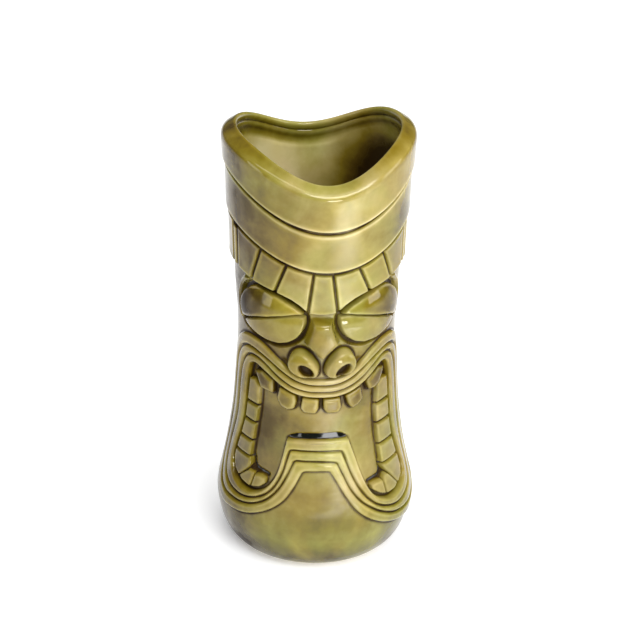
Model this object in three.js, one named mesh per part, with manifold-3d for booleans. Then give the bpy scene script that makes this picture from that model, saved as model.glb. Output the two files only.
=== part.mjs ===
// A tiki mug: a hollow stoneware cup with a carved face on its front and a banded crown round its top.
// Millimetres, +Z up, origin at the middle of the foot, and the face looks along -Y.
// Places on the outside are written [angle, height]: the angle in degrees round the axis from the middle
// of the face, positive towards +X, and the height in millimetres above the foot.
import * as THREE from "three";
import { TessellateModifier } from "three/addons/modifiers/TessellateModifier.js";
import { mergeVertices } from "three/addons/utils/BufferGeometryUtils.js";
import Module from "manifold-3d";

const wasm = await Module();
wasm.setup();

// ---- Driving dimensions ----

const GAP = 0.3; // between a relief and what it sits on, and between neighbours
const COLUMNS = 36; // facets round the axis

const FOOT_INNER = 21;
const FOOT_OUTER = 28;
const FOOT_DEPTH = 1.2; // the unglazed ring that the mug stands on
const FLOOR_HEIGHT = 7;
const FLOOR_EDGE = 22; // where the floor starts to curve up into the wall
const BELLY_HEIGHT = 20;
const BELLY_RADIUS = 38.4;

const CROWN_TURN = 4.3; // degrees: the crown's dips lie this far round from the middle of the face
const RIM_RADIUS = 33; // middle of the rolled rim
const RIM_HALF = 2.9; // half its thickness
const RIM_DEPTH = 5.5; // how far the rolled rim hangs down inside the cup
const GROOVE_HALF = 0.6; // half of the groove between two bands

const MOUTH_DEPTH = 2; // how far the floor of the mouth lies below the wall
const LIP_HEIGHT = 1.3; // over the front; the lips sink almost flush at their sides
const LIP_SINKS = [62, 84]; // degrees from the middle of the face

// ---- Outlines of the cup, as [height, radius] ----

const WALL = [
  [20, 38.4], [25, 37.5], [31, 36], [40, 34.2], [50, 32.7], [62, 31.4], [76, 30.5], [92, 30],
  [106, 30.6], [120, 31.3], [150, 32.6], [165, 33.2],
];
const INSIDE = [
  [22, 33.2], [32, 31], [42, 29.1], [54, 27.5], [70, 26.3], [90, 25.7], [108, 26.2], [126, 27.7],
  [150, 29.9], [165, 30.8],
];

// The value at x of a smooth curve through [x, value] points.
function curveThrough(points) {
  const curve = new THREE.CubicInterpolant(points.map((p) => p[0]), points.map((p) => p[1]), 1);
  return (x) => curve.evaluate(x)[0];
}

const wallAbove = curveThrough(WALL);
const insideAt = curveThrough(INSIDE);
const turn = (angle) => THREE.MathUtils.degToRad(angle - CROWN_TURN);

// The wall's outer radius. Below the belly it is a quarter of an ellipse down to the foot.
function wallAt(height) {
  if (height >= BELLY_HEIGHT) return wallAbove(height);
  const down = 1 - height / BELLY_HEIGHT;
  return FOOT_OUTER + (BELLY_RADIUS - FOOT_OUTER) * Math.sqrt(1 - down * down);
}

// The rim and the lines between the bands rise at the sides and dip at the front and back.
const crestAt = (a) => 167.2 - 6.3 * Math.cos(2 * turn(a)) - Math.cos(4 * turn(a));
const upperGrooveAt = (a) => 150.4 - 8.2 * Math.cos(2 * turn(a));
const lowerGrooveAt = (a) => 132.7 - 6.9 * Math.cos(2 * turn(a));
const crownFootAt = (a) => 117.5 - 4 * Math.cos(2 * turn(a));
const rimBandAt = (height) => 34.9 + (height - 145) * 0.045;
const middleBandAt = (height) => 33.9 + (height - 128) * 0.025;
const lowerBandAt = (height) => 33 + (height - 115) * 0.025;
const mouthFloorAt = (height) => wallAt(height) - MOUTH_DEPTH;

// The lower edge of the brows: low over the nose, then along the top of each eye to the temple.
const browEdgeRight = curveThrough([
  [0, 108.9], [9.5, 109.4], [14, 111.7], [20, 114], [30, 116], [40, 117.2], [50, 118.2], [60, 119.6], [72, 120.8],
]);
const browEdgeAt = (a) => browEdgeRight(Math.abs(a));

// ---- Making solids ----

// The cup's facets meet at these angles and heights.
const COLUMN_ANGLES = Array.from({ length: 2 * COLUMNS }, (_, i) => (i - COLUMNS / 2) * (360 / COLUMNS));
const ROW_HEIGHTS = [1, 3.5, 8, 13, ...WALL.map((point) => point[0])];

function place(angle, height, radius) {
  const a = THREE.MathUtils.degToRad(angle);
  return new THREE.Vector3(radius * Math.sin(a), -radius * Math.cos(a), height);
}

// A closed three.js geometry as a manifold-3d solid.
function solidOf(geometry) {
  const bare = geometry.clone();
  bare.deleteAttribute("normal");
  bare.deleteAttribute("uv");
  const merged = mergeVertices(bare, 1e-4);
  const corners = merged.index.array;
  const kept = [];
  for (let i = 0; i < corners.length; i += 3) {
    const [a, b, c] = corners.slice(i, i + 3);
    if (a !== b && b !== c && c !== a) kept.push(a, b, c);
  }
  const vertProperties = new Float32Array(merged.attributes.position.array);
  return new wasm.Manifold(new wasm.Mesh({ numProp: 3, vertProperties, triVerts: new Uint32Array(kept) }));
}

// Bends a flat geometry round the axis: x is the angle, y the height, and z is handed to radiusOf.
function wrapped(geometry, radiusOf) {
  const p = geometry.attributes.position;
  for (let i = 0; i < p.count; i++) {
    const [angle, height, depth] = [p.getX(i), p.getY(i), p.getZ(i)];
    p.setXYZ(i, ...place(angle, height, radiusOf(angle, height, depth)));
  }
  return solidOf(geometry);
}

// The grid lines that cover low to high, with each stretch of the grid cut into the given parts.
function linesOver(low, high, grid, parts) {
  const fine = grid.slice(0, -1).flatMap((line, i) =>
    Array.from({ length: parts }, (_, k) => THREE.MathUtils.lerp(line, grid[i + 1], k / parts)));
  fine.push(grid.at(-1));
  return fine.filter((line, i) => (fine[i + 1] ?? line) > low && (fine[i - 1] ?? line) < high);
}

// A sheet over a box of angles and heights, between two surfaces given as radii. Its facets follow the cup's.
function sheet([angle0, angle1], [height0, height1], inner, outer, [across, up]) {
  const angles = linesOver(angle0, angle1, COLUMN_ANGLES, across);
  const heights = linesOver(height0, height1, ROW_HEIGHTS, up);
  const flat = new THREE.BoxGeometry(1, 1, 1, angles.length - 1, heights.length - 1, 1);
  const p = flat.attributes.position;
  for (let i = 0; i < p.count; i++) {
    const column = Math.round((p.getX(i) + 0.5) * (angles.length - 1));
    const row = Math.round((p.getY(i) + 0.5) * (heights.length - 1));
    p.setXY(i, angles[column], heights[row]);
  }
  return wrapped(flat, (a, h, side) => (side < 0 ? inner(a, h) : outer(a, h)));
}

// Cuts long edges in two, so that a flat shape bends smoothly when it is wrapped.
const finer = new TessellateModifier(13, 16);

// Everything inside an outline, from just under base to reach above it. An outline and its hole are both
// listed clockwise, and a THREE.Shape wants its hole the other way round.
function column(outline, hole, base, reach) {
  const shape = new THREE.Shape(outline.map(([a, h]) => new THREE.Vector2(a, h)));
  if (hole) shape.holes.push(new THREE.Path(hole.map(([a, h]) => new THREE.Vector2(a, h)).reverse()));
  const flat = finer.modify(new THREE.ExtrudeGeometry(shape, { depth: 1, bevelEnabled: false }));
  return wrapped(flat, (a, h, side) => base(h) + (side < 0.5 ? -0.5 : reach));
}

const span = (values) => [Math.min(...values) - 1, Math.max(...values) + 1];

// A relief: what an outline cuts from a sheet that lies on base and is height(angle, height) thick.
function relief(outline, base, height, { hole, parts = [1, 1], reach = 4 } = {}) {
  const angles = span(outline.map((p) => p[0]));
  const heights = span(outline.map((p) => p[1]));
  const inner = (a, h) => base(h) + GAP;
  const outer = (a, h) => base(h) + Math.max(height(a, h), 2 * GAP);
  return sheet(angles, heights, inner, outer, parts).intersect(column(outline, hole, base, reach));
}

// A closed ring round the axis. Its section is a list of [u, v], and placeAt(angle, u, v) gives [radius, height].
function ring(section, placeAt) {
  const geometry = new THREE.LatheGeometry(section.map(([u, v]) => new THREE.Vector2(u, v)), COLUMNS);
  const p = geometry.attributes.position;
  for (let i = 0; i < p.count; i++) {
    const angle = THREE.MathUtils.radToDeg(Math.atan2(p.getX(i), p.getZ(i)));
    const [radius, height] = placeAt(angle, Math.hypot(p.getX(i), p.getZ(i)), p.getY(i));
    p.setXYZ(i, ...place(angle, height, radius));
  }
  return solidOf(geometry);
}

const mug = new THREE.Group();

function add(name, solid, material) {
  const made = solid.getMesh();
  const geometry = new THREE.BufferGeometry();
  geometry.setAttribute("position", new THREE.Float32BufferAttribute(made.vertProperties, 3));
  geometry.setIndex(new THREE.Uint32BufferAttribute(made.triVerts, 1));
  const flat = geometry.toNonIndexed();
  flat.computeVertexNormals();
  const mesh = new THREE.Mesh(flat, material.clone());
  mesh.name = name;
  mug.add(mesh);
}

const mirrored = (outline) => outline.map(([a, h]) => [-a, h]).reverse();

const glaze = new THREE.MeshStandardMaterial({ color: 0xa39a58, roughness: 0.15, metalness: 0 });
const darkGlaze = new THREE.MeshStandardMaterial({ color: 0x8a8038, roughness: 0.12, metalness: 0 });
const paleGlaze = new THREE.MeshStandardMaterial({ color: 0xbab074, roughness: 0.18, metalness: 0 });
const bareClay = new THREE.MeshStandardMaterial({ color: 0xe6dcc6, roughness: 0.8, metalness: 0 });

// ---- Lips: four loops round the mouth, each lip filling the space between two ----

const MOUTH_EDGE = [
  [0, 74], [10, 74.1], [20, 75.2], [30, 77.6], [38, 80.2], [45, 82.6], [50, 83.4], [54, 82.4], [57, 79],
  [58.5, 74], [59, 66], [59, 58], [60.5, 50], [63.5, 44.5], [66, 39], [67.5, 34.5], [65, 30.5], [58, 28],
  [49.5, 27], [42, 28.2], [35.5, 31], [31, 35.5], [27, 42], [23.5, 49], [20.5, 54.4], [18.6, 56.3],
  [8, 56.8], [-8, 56.8], [-22.3, 56.3], [-24.4, 54], [-26.5, 48], [-29.5, 41], [-34, 36], [-40, 32.6],
  [-48, 31], [-58, 32], [-65.5, 35], [-69, 39.5], [-68, 45], [-65, 51], [-62, 58], [-61, 66],
  [-60, 73], [-58.5, 79], [-56, 82], [-51, 83.2], [-45, 82.2], [-38, 80.4], [-30, 77.8], [-20, 75.3], [-10, 74.2],
];
const INNER_LIP_EDGE = [
  [0, 76.3], [10, 76.4], [20, 77.7], [30, 80.3], [40, 83.9], [48, 86.2], [55, 86.6], [61.5, 85], [65.5, 81],
  [67.5, 75], [68.3, 66], [68.5, 58], [69.5, 50], [72, 43], [74.5, 36], [74, 30.5], [70, 26.5], [62, 24],
  [54, 23], [46, 23.8], [38, 26], [31, 29.7], [24.5, 35.5], [20, 41.5], [17, 46.5], [14.5, 50.7],
  [12, 51.7], [0, 52], [-12, 52], [-19.5, 51.8], [-21.5, 50], [-24.5, 43], [-27.8, 38], [-32, 33.9],
  [-38, 30.7], [-46, 28.5], [-55, 27.8], [-65, 28.8], [-73, 31.5], [-77, 37], [-76.5, 44], [-73.5, 51],
  [-70.5, 58], [-69.5, 66], [-69, 73], [-67, 79], [-63, 83.6], [-57, 86], [-50, 86.3], [-42, 84.8],
  [-30, 80.6], [-20, 77.8], [-10, 76.5],
];
const MIDDLE_LIP_EDGE = [
  [0, 79.1], [10, 79.3], [20, 80.9], [30, 84], [40, 87.2], [48, 88.9], [56, 89.4], [64, 88.3], [71, 85.3],
  [75.5, 80], [77, 73], [77.5, 65], [77.8, 57], [79, 50], [81, 43], [83, 35], [82, 28], [78, 22.6],
  [70, 19.8], [60, 19.2], [50, 20], [41, 22.3], [32.5, 25.8], [24.5, 30.4], [18.5, 36], [14.5, 41.5],
  [11.5, 45.6], [9.5, 47.3], [0, 48], [-10, 48], [-16.5, 47.8], [-18.5, 46], [-21.5, 41.5], [-26.5, 35.5],
  [-33, 30.6], [-41, 27.3], [-50, 25.5], [-60, 25], [-70, 25.6], [-79, 28.5], [-84.5, 35], [-84.5, 43],
  [-82, 50], [-79.5, 58], [-78, 66], [-77.5, 73], [-75.5, 80], [-71, 85.3], [-64, 88.4], [-56, 89.4],
  [-47, 88.6], [-38, 86.6], [-28, 83.4], [-19, 80.8], [-10, 79.4],
];
const OUTER_LIP_EDGE = [
  [0, 82], [12, 82.4], [22, 84.6], [30, 88.2], [38, 91.4], [46, 93.4], [55, 94.2], [65, 93.2], [74, 90],
  [81, 84.5], [84.5, 77], [85.5, 68], [86, 60], [87, 52], [88.5, 44], [90, 36], [90, 27], [86, 19.8],
  [78, 15.8], [66, 14.3], [55, 15], [45, 16.8], [36, 19.4], [28, 22.8], [20.5, 27.6], [14.5, 34],
  [9.5, 40], [6.5, 43.2], [4.5, 44.2], [-3, 44.3], [-10.5, 44], [-13, 42], [-17, 36.8], [-22.5, 31.3],
  [-30, 27], [-39, 23.7], [-49, 21.4], [-60, 20.5], [-72, 20.5], [-84, 23.5], [-91.5, 30], [-92.5, 40],
  [-90, 50], [-87.5, 58], [-86.5, 66], [-86, 74], [-83.5, 82], [-77.5, 88.5], [-69, 92.6], [-59, 94.3],
  [-49, 94], [-40, 92], [-30, 88.2], [-21, 84.4], [-11, 82.3],
];

// A loop drawn in (or out, below zero) by a distance in millimetres, square to its own line.
function drawnIn(loop, distance) {
  return loop.map(([a, h], i) => {
    const [before, after] = [loop.at(i - 1), loop[(i + 1) % loop.length]];
    const perDegree = THREE.MathUtils.degToRad(wallAt(h));
    const along = new THREE.Vector2((after[0] - before[0]) * perDegree, after[1] - before[1]).normalize();
    return [a + (distance * along.y) / perDegree, h - distance * along.x];
  });
}

function addLips() {
  const { lerp, smoothstep } = THREE.MathUtils;
  const height = (a) => lerp(LIP_HEIGHT, 2 * GAP, smoothstep(Math.abs(a), ...LIP_SINKS));
  const half = GROOVE_HALF / 2;
  const loops = [MOUTH_EDGE, INNER_LIP_EDGE, MIDDLE_LIP_EDGE, OUTER_LIP_EDGE];
  ["lip_inner", "lip_middle", "lip_outer"].forEach((name, i) => {
    const hole = drawnIn(loops[i], i ? -half : 0);
    const outline = drawnIn(loops[i + 1], half);
    add(name, relief(outline, wallAt, height, { hole }), glaze);
  });
}

// ---- The cup: a turned wall and floor, with the mouth let into its front ----

function addCup() {
  const bottom = FOOT_DEPTH + GAP;
  const outside = [[0, bottom], [wallAt(bottom), bottom]];
  for (const height of ROW_HEIGHTS.slice(1, -1)) outside.push([wallAt(height), height]);
  outside.push([wallAt(160), 160]);
  const inside = [[insideAt(160), 160]];
  for (const [height] of INSIDE.slice(0, -1).reverse()) inside.push([insideAt(height), height]);
  const [reach, rise] = [INSIDE[0][1] - FLOOR_EDGE, INSIDE[0][0] - FLOOR_HEIGHT];
  for (const part of [1 / 3, 2 / 3, 1]) {
    const t = (part * Math.PI) / 2;
    inside.push([FLOOR_EDGE + reach * Math.cos(t), INSIDE[0][0] - rise * Math.sin(t)]);
  }
  inside.push([0, FLOOR_HEIGHT]);
  const top = (a) => crestAt(a) - RIM_DEPTH - GAP;
  const lifted = (a, h) => (h < 150 ? h : 150 + ((h - 150) / 10) * (top(a) - 150));
  const cup = ring([...outside, ...inside], (a, r, h) => [r, lifted(a, h)]);
  const mouth = relief(MOUTH_EDGE, (h) => mouthFloorAt(h) - GAP, () => MOUTH_DEPTH + 1);
  add("cup_body", cup.subtract(mouth), glaze);
}

function addFoot() {
  const section = [
    [FOOT_INNER, 0], [FOOT_OUTER, 0], [wallAt(FOOT_DEPTH), FOOT_DEPTH], [FOOT_INNER - 1, FOOT_DEPTH], [FOOT_INNER, 0],
  ];
  add("foot_ring", ring(section, (a, r, h) => [r, h]), bareClay);
}

// ---- Crown: three bands one above the other, the top one rolled over the wall as the rim ----

function addRimBand() {
  const roll = [];
  for (const degrees of [0, 30, 60, 90, 120, 150, 180]) {
    const t = THREE.MathUtils.degToRad(degrees);
    roll.push([RIM_HALF * Math.cos(t), RIM_HALF * Math.sin(t)]);
  }
  // u is what the point is, and v how far up its own stretch it lies
  const [LEG_IN, LEG_OUT, HOOK_IN, HOOK_OUT, ROLL] = [1, 2, 3, 4, 5];
  const section = [[LEG_IN, 0], [LEG_OUT, 0], [LEG_OUT, 0.5]];
  roll.forEach((point, i) => section.push([ROLL, i]));
  section.push([HOOK_IN, 0], [HOOK_OUT, 0], [LEG_IN, 0]);
  const placeAt = (a, u, v) => {
    const [low, crest] = [upperGrooveAt(a) + GROOVE_HALF, crestAt(a)];
    const middle = crest - RIM_HALF;
    if (u === ROLL) return [RIM_RADIUS + roll[v][0], middle + roll[v][1]];
    if (u === HOOK_IN) return [RIM_RADIUS - RIM_HALF, crest - RIM_DEPTH];
    if (u === HOOK_OUT) return [wallAt(crest) + GAP, crest - RIM_DEPTH];
    const height = low + v * (middle - low);
    return u === LEG_IN ? [wallAt(height) + GAP, height] : [rimBandAt(height), height];
  };
  add("rim_band", ring(section, (a, u, v) => placeAt(a, Math.round(u), Math.round(v * 2) / 2)), glaze);
}

function addMiddleBand() {
  const section = [[1, 0], [2, 0], [2, 0.5], [2, 1], [1, 1], [1, 0.5], [1, 0]];
  const placeAt = (a, u, v) => {
    const low = lowerGrooveAt(a) + GROOVE_HALF;
    const height = low + v * (upperGrooveAt(a) - GROOVE_HALF - low);
    return [u < 1.5 ? wallAt(height) + GAP : middleBandAt(height), height];
  };
  add("crown_band_middle", ring(section, placeAt), glaze);
}

// An upright block of the lowest band, between two slanting sides given as [angle at top, angle at bottom].
function bandBlock([topLeft, footLeft], [topRight, footRight], footAt) {
  const mix = THREE.MathUtils.lerp;
  const steps = Math.max(1, Math.round((topRight - topLeft) / 7));
  const along = (from, to, edge) =>
    Array.from({ length: steps + 1 }, (_, i) => [mix(from, to, i / steps), edge(mix(from, to, i / steps))]);
  const foot = along(footLeft, footRight, (a) => footAt(a) + GROOVE_HALF);
  const top = along(topRight, topLeft, (a) => lowerGrooveAt(a) - GROOVE_HALF);
  return relief([...foot, ...top], wallAt, (a, h) => lowerBandAt(h) - wallAt(h));
}

// The upright grooves of the brow, as [angle at top, angle at bottom], on the right of the middle.
const BROW_GROOVES = [[6.2, 9.8], [24, 32.3], [42.5, 51.5], [66, 66.5]];
const BROW_HALF = 0.9; // degrees: half of such a groove
const TEMPLE_BAR = [[67, 67.5], [71.5, 71.5]];
const REAR_START = 73;

function addBrow() {
  const inwards = ([t, f]) => [t - BROW_HALF, f - BROW_HALF];
  const outwards = ([t, f]) => [t + BROW_HALF, f + BROW_HALF];
  const opposite = ([t, f]) => [-t, -f];
  const middle = inwards(BROW_GROOVES[0]);
  add("brow_block_centre", bandBlock(opposite(middle), middle, browEdgeAt), paleGlaze);
  ["inner", "middle", "outer"].forEach((name, i) => {
    const [near, far] = [outwards(BROW_GROOVES[i]), inwards(BROW_GROOVES[i + 1])];
    add(`brow_block_right_${name}`, bandBlock(near, far, browEdgeAt), paleGlaze);
    add(`brow_block_left_${name}`, bandBlock(opposite(far), opposite(near), browEdgeAt), paleGlaze);
  });
  const [near, far] = TEMPLE_BAR;
  add("temple_bar_right", bandBlock(near, far, browEdgeAt), glaze);
  add("temple_bar_left", bandBlock(opposite(far), opposite(near), browEdgeAt), glaze);
  const rear = bandBlock([REAR_START, REAR_START], [360 - REAR_START, 360 - REAR_START], crownFootAt);
  add("crown_band_rear", rear, glaze);
}

// ---- Eyes ----

const LOWER_LID = [
  [11, 107.2], [10.6, 104.5], [12.5, 101.3], [16, 98.4], [22, 96], [30, 94.6], [40, 94.8], [50, 96],
  [58, 97.3], [65, 98.9], [63, 99.9], [55, 101.6], [45, 103.9], [30, 106.3], [18, 107.8],
];
const UPPER_LID = [
  [11.5, 108.9], [18, 109], [30, 107.5], [45, 105.1], [55, 102.8], [65.5, 100.6], [68, 104], [67, 108.5],
  [63, 112.4], [57, 115], [50, 116.7], [40, 116], [30, 114.8], [20, 112.5], [14, 110.2],
];
const SOCKET_RIM = [
  [52, 117.6], [58, 116], [64.5, 113.2], [69, 108.8], [70, 104], [68, 99.8], [71.5, 97.4], [74.8, 103],
  [74, 109], [69, 114.6], [62, 118.3], [57, 118.6],
];

const bulge = (a, h, [middle, level], [wide, tall]) =>
  Math.max(0, 1 - ((Math.abs(a) - middle) / wide) ** 2 - ((h - level) / tall) ** 2);

function addEyes() {
  const lower = (a, h) => 0.9 + 1.8 * bulge(a, h, [34, 101], [34, 10]);
  const upper = (a, h) => 0.8 + 1.3 * bulge(a, h, [40, 105], [34, 14]);
  for (const [side, turned] of [["right", (o) => o], ["left", mirrored]]) {
    add(`eye_lower_lid_${side}`, relief(turned(LOWER_LID), wallAt, lower, { parts: [1, 3] }), paleGlaze);
    add(`eye_upper_lid_${side}`, relief(turned(UPPER_LID), wallAt, upper, { parts: [1, 3] }), darkGlaze);
    add(`eye_socket_rim_${side}`, relief(turned(SOCKET_RIM), wallAt, () => 1.2), glaze);
  }
}

// ---- Nose ----

const NOSE_BRIDGE = [
  [-8, 107.6], [-8.4, 104], [-10.6, 100], [-13.5, 97], [-10.5, 95.9], [-6.5, 93.9], [-3, 91.5], [0, 90],
  [3, 91.5], [6.5, 93.9], [10.5, 95.9], [13.5, 97], [10.6, 100], [8.4, 104], [8, 107.6],
];
const NOSTRIL_WING = [
  [0.7, 88.8], [0.7, 84], [3, 82.9], [8, 82.9], [14, 83.6], [20, 84.8], [24, 87], [24.6, 90], [22, 93],
  [17.5, 95.2], [12.5, 95.9], [7.6, 93.7], [3.6, 90.8],
];
const NOSTRIL = { angle: 11.6, height: 86.2, long: 2.6, short: 1.3, slope: 40 };

// An ellipse on the wall, its long axis turned up from level by slope degrees.
function ellipse({ angle, height, long, short, slope }) {
  const perDegree = THREE.MathUtils.degToRad(wallAt(height));
  const curve = new THREE.EllipseCurve(0, 0, long, short, 0, 2 * Math.PI, false, THREE.MathUtils.degToRad(slope));
  return curve.getPoints(12).slice(0, -1).map((p) => [angle + p.x / perDegree, height + p.y]);
}

function addNose() {
  const bridge = (a, h) => 1.2 + 4.6 * bulge(a, h, [0, 92], [17, 16]);
  add("nose_bridge", relief(NOSE_BRIDGE, wallAt, bridge, { parts: [2, 4], reach: 8 }), darkGlaze);
  const wing = (a, h) => 1.4 + 3.6 * bulge(a, h, [12, 90], [15, 9]);
  for (const [side, turned] of [["right", (o) => o], ["left", mirrored]]) {
    const blank = relief(turned(NOSTRIL_WING), wallAt, wing, { parts: [2, 4], reach: 7 });
    const pit = relief(turned(ellipse(NOSTRIL)), (h) => wallAt(h) + 1.4, () => 6, { reach: 7 });
    add(`nostril_wing_${side}`, blank.subtract(pit), glaze);
  }
}

// ---- Teeth: a row hanging from the upper lip, and a string of small ones down each side ----

const UPPER_TEETH = [
  [[-52.5, 80.6], [-46, 74], [-35, 73.4], [-35.3, 78.8], [-45, 81.4]],
  [[-30.3, 77], [-32, 72], [-29, 69.2], [-23.5, 68], [-19, 68.9], [-17.4, 72], [-18.3, 74.3], [-24, 75.6]],
  [[-13.3, 73.9], [-14.5, 69.4], [-12, 67.7], [-4, 67.4], [-1.9, 69.2], [-1.6, 73.4]],
  [[1.4, 73.4], [1.5, 69.4], [4, 67.5], [12, 67.5], [14.4, 69.6], [13.4, 73.8]],
  [[17.2, 74.2], [19.3, 70.2], [22, 68.4], [27, 69.2], [31, 71.3], [29.4, 76.8], [23, 75.3]],
  [[33.6, 78], [36.4, 74], [42, 73.8], [47, 75.4], [51.5, 79.4], [52, 81.4], [46, 82], [39, 79.9]],
];
const SIDE_TEETH = {
  left: [
    [[-57.2, 75.6], [-58.6, 66.2], [-47.3, 66.2], [-47, 74], [-52, 76.2]],
    [[-58.8, 65.5], [-60.2, 58.6], [-48.8, 58.6], [-47.4, 65.5]],
    [[-60.3, 58], [-63, 50.8], [-50.2, 50.8], [-49, 58]],
    [[-63.2, 50.2], [-66.2, 43.9], [-51.2, 43.9], [-50.4, 50.2]],
    [[-66.4, 43.3], [-66.6, 39.2], [-63.4, 36], [-59.6, 35], [-51, 39.5], [-50.2, 41], [-51, 43.3]],
    [[-50, 38.9], [-58.6, 34.3], [-55.5, 33.2], [-48, 32.5], [-45.9, 38.2]],
    [[-45, 38], [-47, 32.6], [-40.5, 33.8], [-36.8, 35.8], [-37.2, 37.6], [-41, 38.2]],
  ],
  right: [
    [[56.3, 75.3], [50.5, 76.2], [44.8, 74.3], [43.2, 66.9], [57.4, 66.9]],
    [[57.5, 66.2], [43.1, 66.2], [42.9, 58.7], [57.7, 58.7]],
    [[57.7, 58], [42.9, 58], [43.5, 49.7], [58.4, 49.7]],
    [[58.6, 49], [43.7, 49], [44.8, 41.2], [52, 41], [61.9, 40.4]],
    [[62.2, 39.8], [52, 40.3], [45.6, 40.4], [47.5, 37.9], [51.5, 35.4], [58.8, 30.4], [63.5, 31.8], [65.2, 35]],
    [[50.7, 35.1], [47, 36.8], [44.8, 35], [46.2, 28.6], [54, 28.6], [57.9, 29.8]],
    [[43.8, 34.7], [38, 34.9], [34.2, 34.6], [34.6, 32.8], [40, 30.2], [45.2, 28.8]],
  ],
};

function addTeeth() {
  const height = () => MOUTH_DEPTH + 0.6;
  UPPER_TEETH.forEach((outline, i) => {
    add(`upper_tooth_${i + 1}`, relief(outline, mouthFloorAt, height), paleGlaze);
  });
  for (const side of ["left", "right"]) {
    SIDE_TEETH[side].forEach((outline, i) => {
      add(`side_tooth_${side}_${i + 1}`, relief(outline, mouthFloorAt, height), paleGlaze);
    });
  }
}

addCup();
addFoot();
addRimBand();
addMiddleBand();
addBrow();
addEyes();
addNose();
addLips();
addTeeth();

export default mug;
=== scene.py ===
import math

import bpy
import numpy as np
from mathutils import Euler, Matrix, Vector
from mathutils.geometry import delaunay_2d_cdt
from mathutils.kdtree import KDTree


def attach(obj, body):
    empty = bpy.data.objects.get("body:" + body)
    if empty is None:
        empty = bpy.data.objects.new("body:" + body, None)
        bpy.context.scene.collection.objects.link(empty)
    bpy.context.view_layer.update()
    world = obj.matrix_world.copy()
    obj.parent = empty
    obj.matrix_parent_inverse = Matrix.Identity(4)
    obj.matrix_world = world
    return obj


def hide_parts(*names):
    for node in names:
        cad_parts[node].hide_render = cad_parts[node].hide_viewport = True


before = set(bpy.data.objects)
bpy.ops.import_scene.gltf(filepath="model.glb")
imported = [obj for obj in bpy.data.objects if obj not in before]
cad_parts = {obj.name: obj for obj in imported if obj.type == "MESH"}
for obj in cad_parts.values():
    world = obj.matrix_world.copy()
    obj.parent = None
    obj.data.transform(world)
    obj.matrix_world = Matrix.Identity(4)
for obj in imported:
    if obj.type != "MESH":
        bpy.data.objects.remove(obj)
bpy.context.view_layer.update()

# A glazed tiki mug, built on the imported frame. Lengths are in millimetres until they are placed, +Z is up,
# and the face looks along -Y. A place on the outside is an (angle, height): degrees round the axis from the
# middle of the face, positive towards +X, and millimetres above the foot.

# ---- Driving dimensions ----

MM = 0.001
FOOT_OUTER = 28.0
BELLY_HEIGHT, BELLY_RADIUS = 20.0, 38.3
FLOOR_HEIGHT, FLOOR_EDGE = 7.0, 22.0
CROWN_TURN = 4.3
MOUTH_DEPTH = 1.9
SOCKET_DEPTH = 1.9
BAND_GAP = 0.35  # from a band's edge to the groove's middle line
BAND_EDGE = 0.9  # a band's edge rounds over this far
CHART_RADIUS = 33.0  # outlines are meshed on a cylinder of this radius, laid flat

WALL = [(20, 38.3), (25, 37.6), (31, 36.1), (40, 34.2), (50, 32.7), (60, 31.6), (70, 30.9), (80, 30.4),
        (90, 30.0), (98, 30.1), (106, 30.6), (114, 31.0), (122, 31.4), (135, 31.9), (150, 32.6), (175, 33.4)]
INSIDE = [(22, 33.2), (31, 31.2), (40, 29.4), (50, 27.9), (60, 26.9), (70, 26.3), (80, 25.9), (90, 25.7),
          (100, 25.8), (110, 26.4), (120, 27.2), (135, 28.6), (150, 29.9), (165, 30.9), (175, 31.1)]


class Curve:
    """A smooth curve through (x, value) points, each stretch a cubic."""

    def __init__(self, points):
        self.x, self.y = (np.array(v, float) for v in zip(*points))
        self.slope = np.gradient(self.y, self.x)

    def __call__(self, at):
        at = np.clip(np.asarray(at, float), self.x[0], self.x[-1])
        i = np.clip(np.searchsorted(self.x, at) - 1, 0, len(self.x) - 2)
        wide = self.x[i + 1] - self.x[i]
        t = (at - self.x[i]) / wide
        rise = self.y[i + 1] - self.y[i]
        low, high = self.slope[i] * wide, self.slope[i + 1] * wide
        return self.y[i] + t * low + t**2 * (3 * rise - 2 * low - high) + t**3 * (low + high - 2 * rise)


def ramp(value, low, high):
    """0 below low, 1 above high, and smooth between."""
    t = np.clip((np.asarray(value, float) - low) / (high - low), 0, 1)
    return t * t * (3 - 2 * t)


def mix(low, high, share):
    return low + (high - low) * share


wall_above = Curve(WALL)
inside_at = Curve(INSIDE)


def wall_at(height):
    """The plain outer wall: below the belly a quarter of an ellipse down to the foot."""
    down = np.clip(1 - np.asarray(height, float) / BELLY_HEIGHT, 0, 1)
    low = FOOT_OUTER + (BELLY_RADIUS - FOOT_OUTER) * np.sqrt(np.maximum(0, 1 - down * down))
    return np.where(np.asarray(height) < BELLY_HEIGHT, low, wall_above(height))


def wrapped(angle):
    """The same angle between -180 and 180."""
    return (np.asarray(angle, float) + 180) % 360 - 180


def turned(angle):
    return np.radians(np.asarray(angle, float) - CROWN_TURN)


def crest_at(angle):
    return 167.2 - 6.3 * np.cos(2 * turned(angle)) - np.cos(4 * turned(angle))


def upper_groove_at(angle):
    return 150.4 - 8.2 * np.cos(2 * turned(angle))


def lower_groove_at(angle):
    return 132.7 - 6.9 * np.cos(2 * turned(angle))


def crown_foot_at(angle):
    return 117.5 - 4.0 * np.cos(2 * turned(angle))


brow_edge_right = Curve([(0, 108.9), (9.5, 109.4), (14, 111.7), (20, 114), (30, 116), (40, 117.2),
                         (50, 118.2), (60, 119.6), (72, 120.8), (90, 121.0)])
TEMPLE, BEHIND_TEMPLE, TEMPLE_EDGE = 72, 84, 120.8


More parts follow.
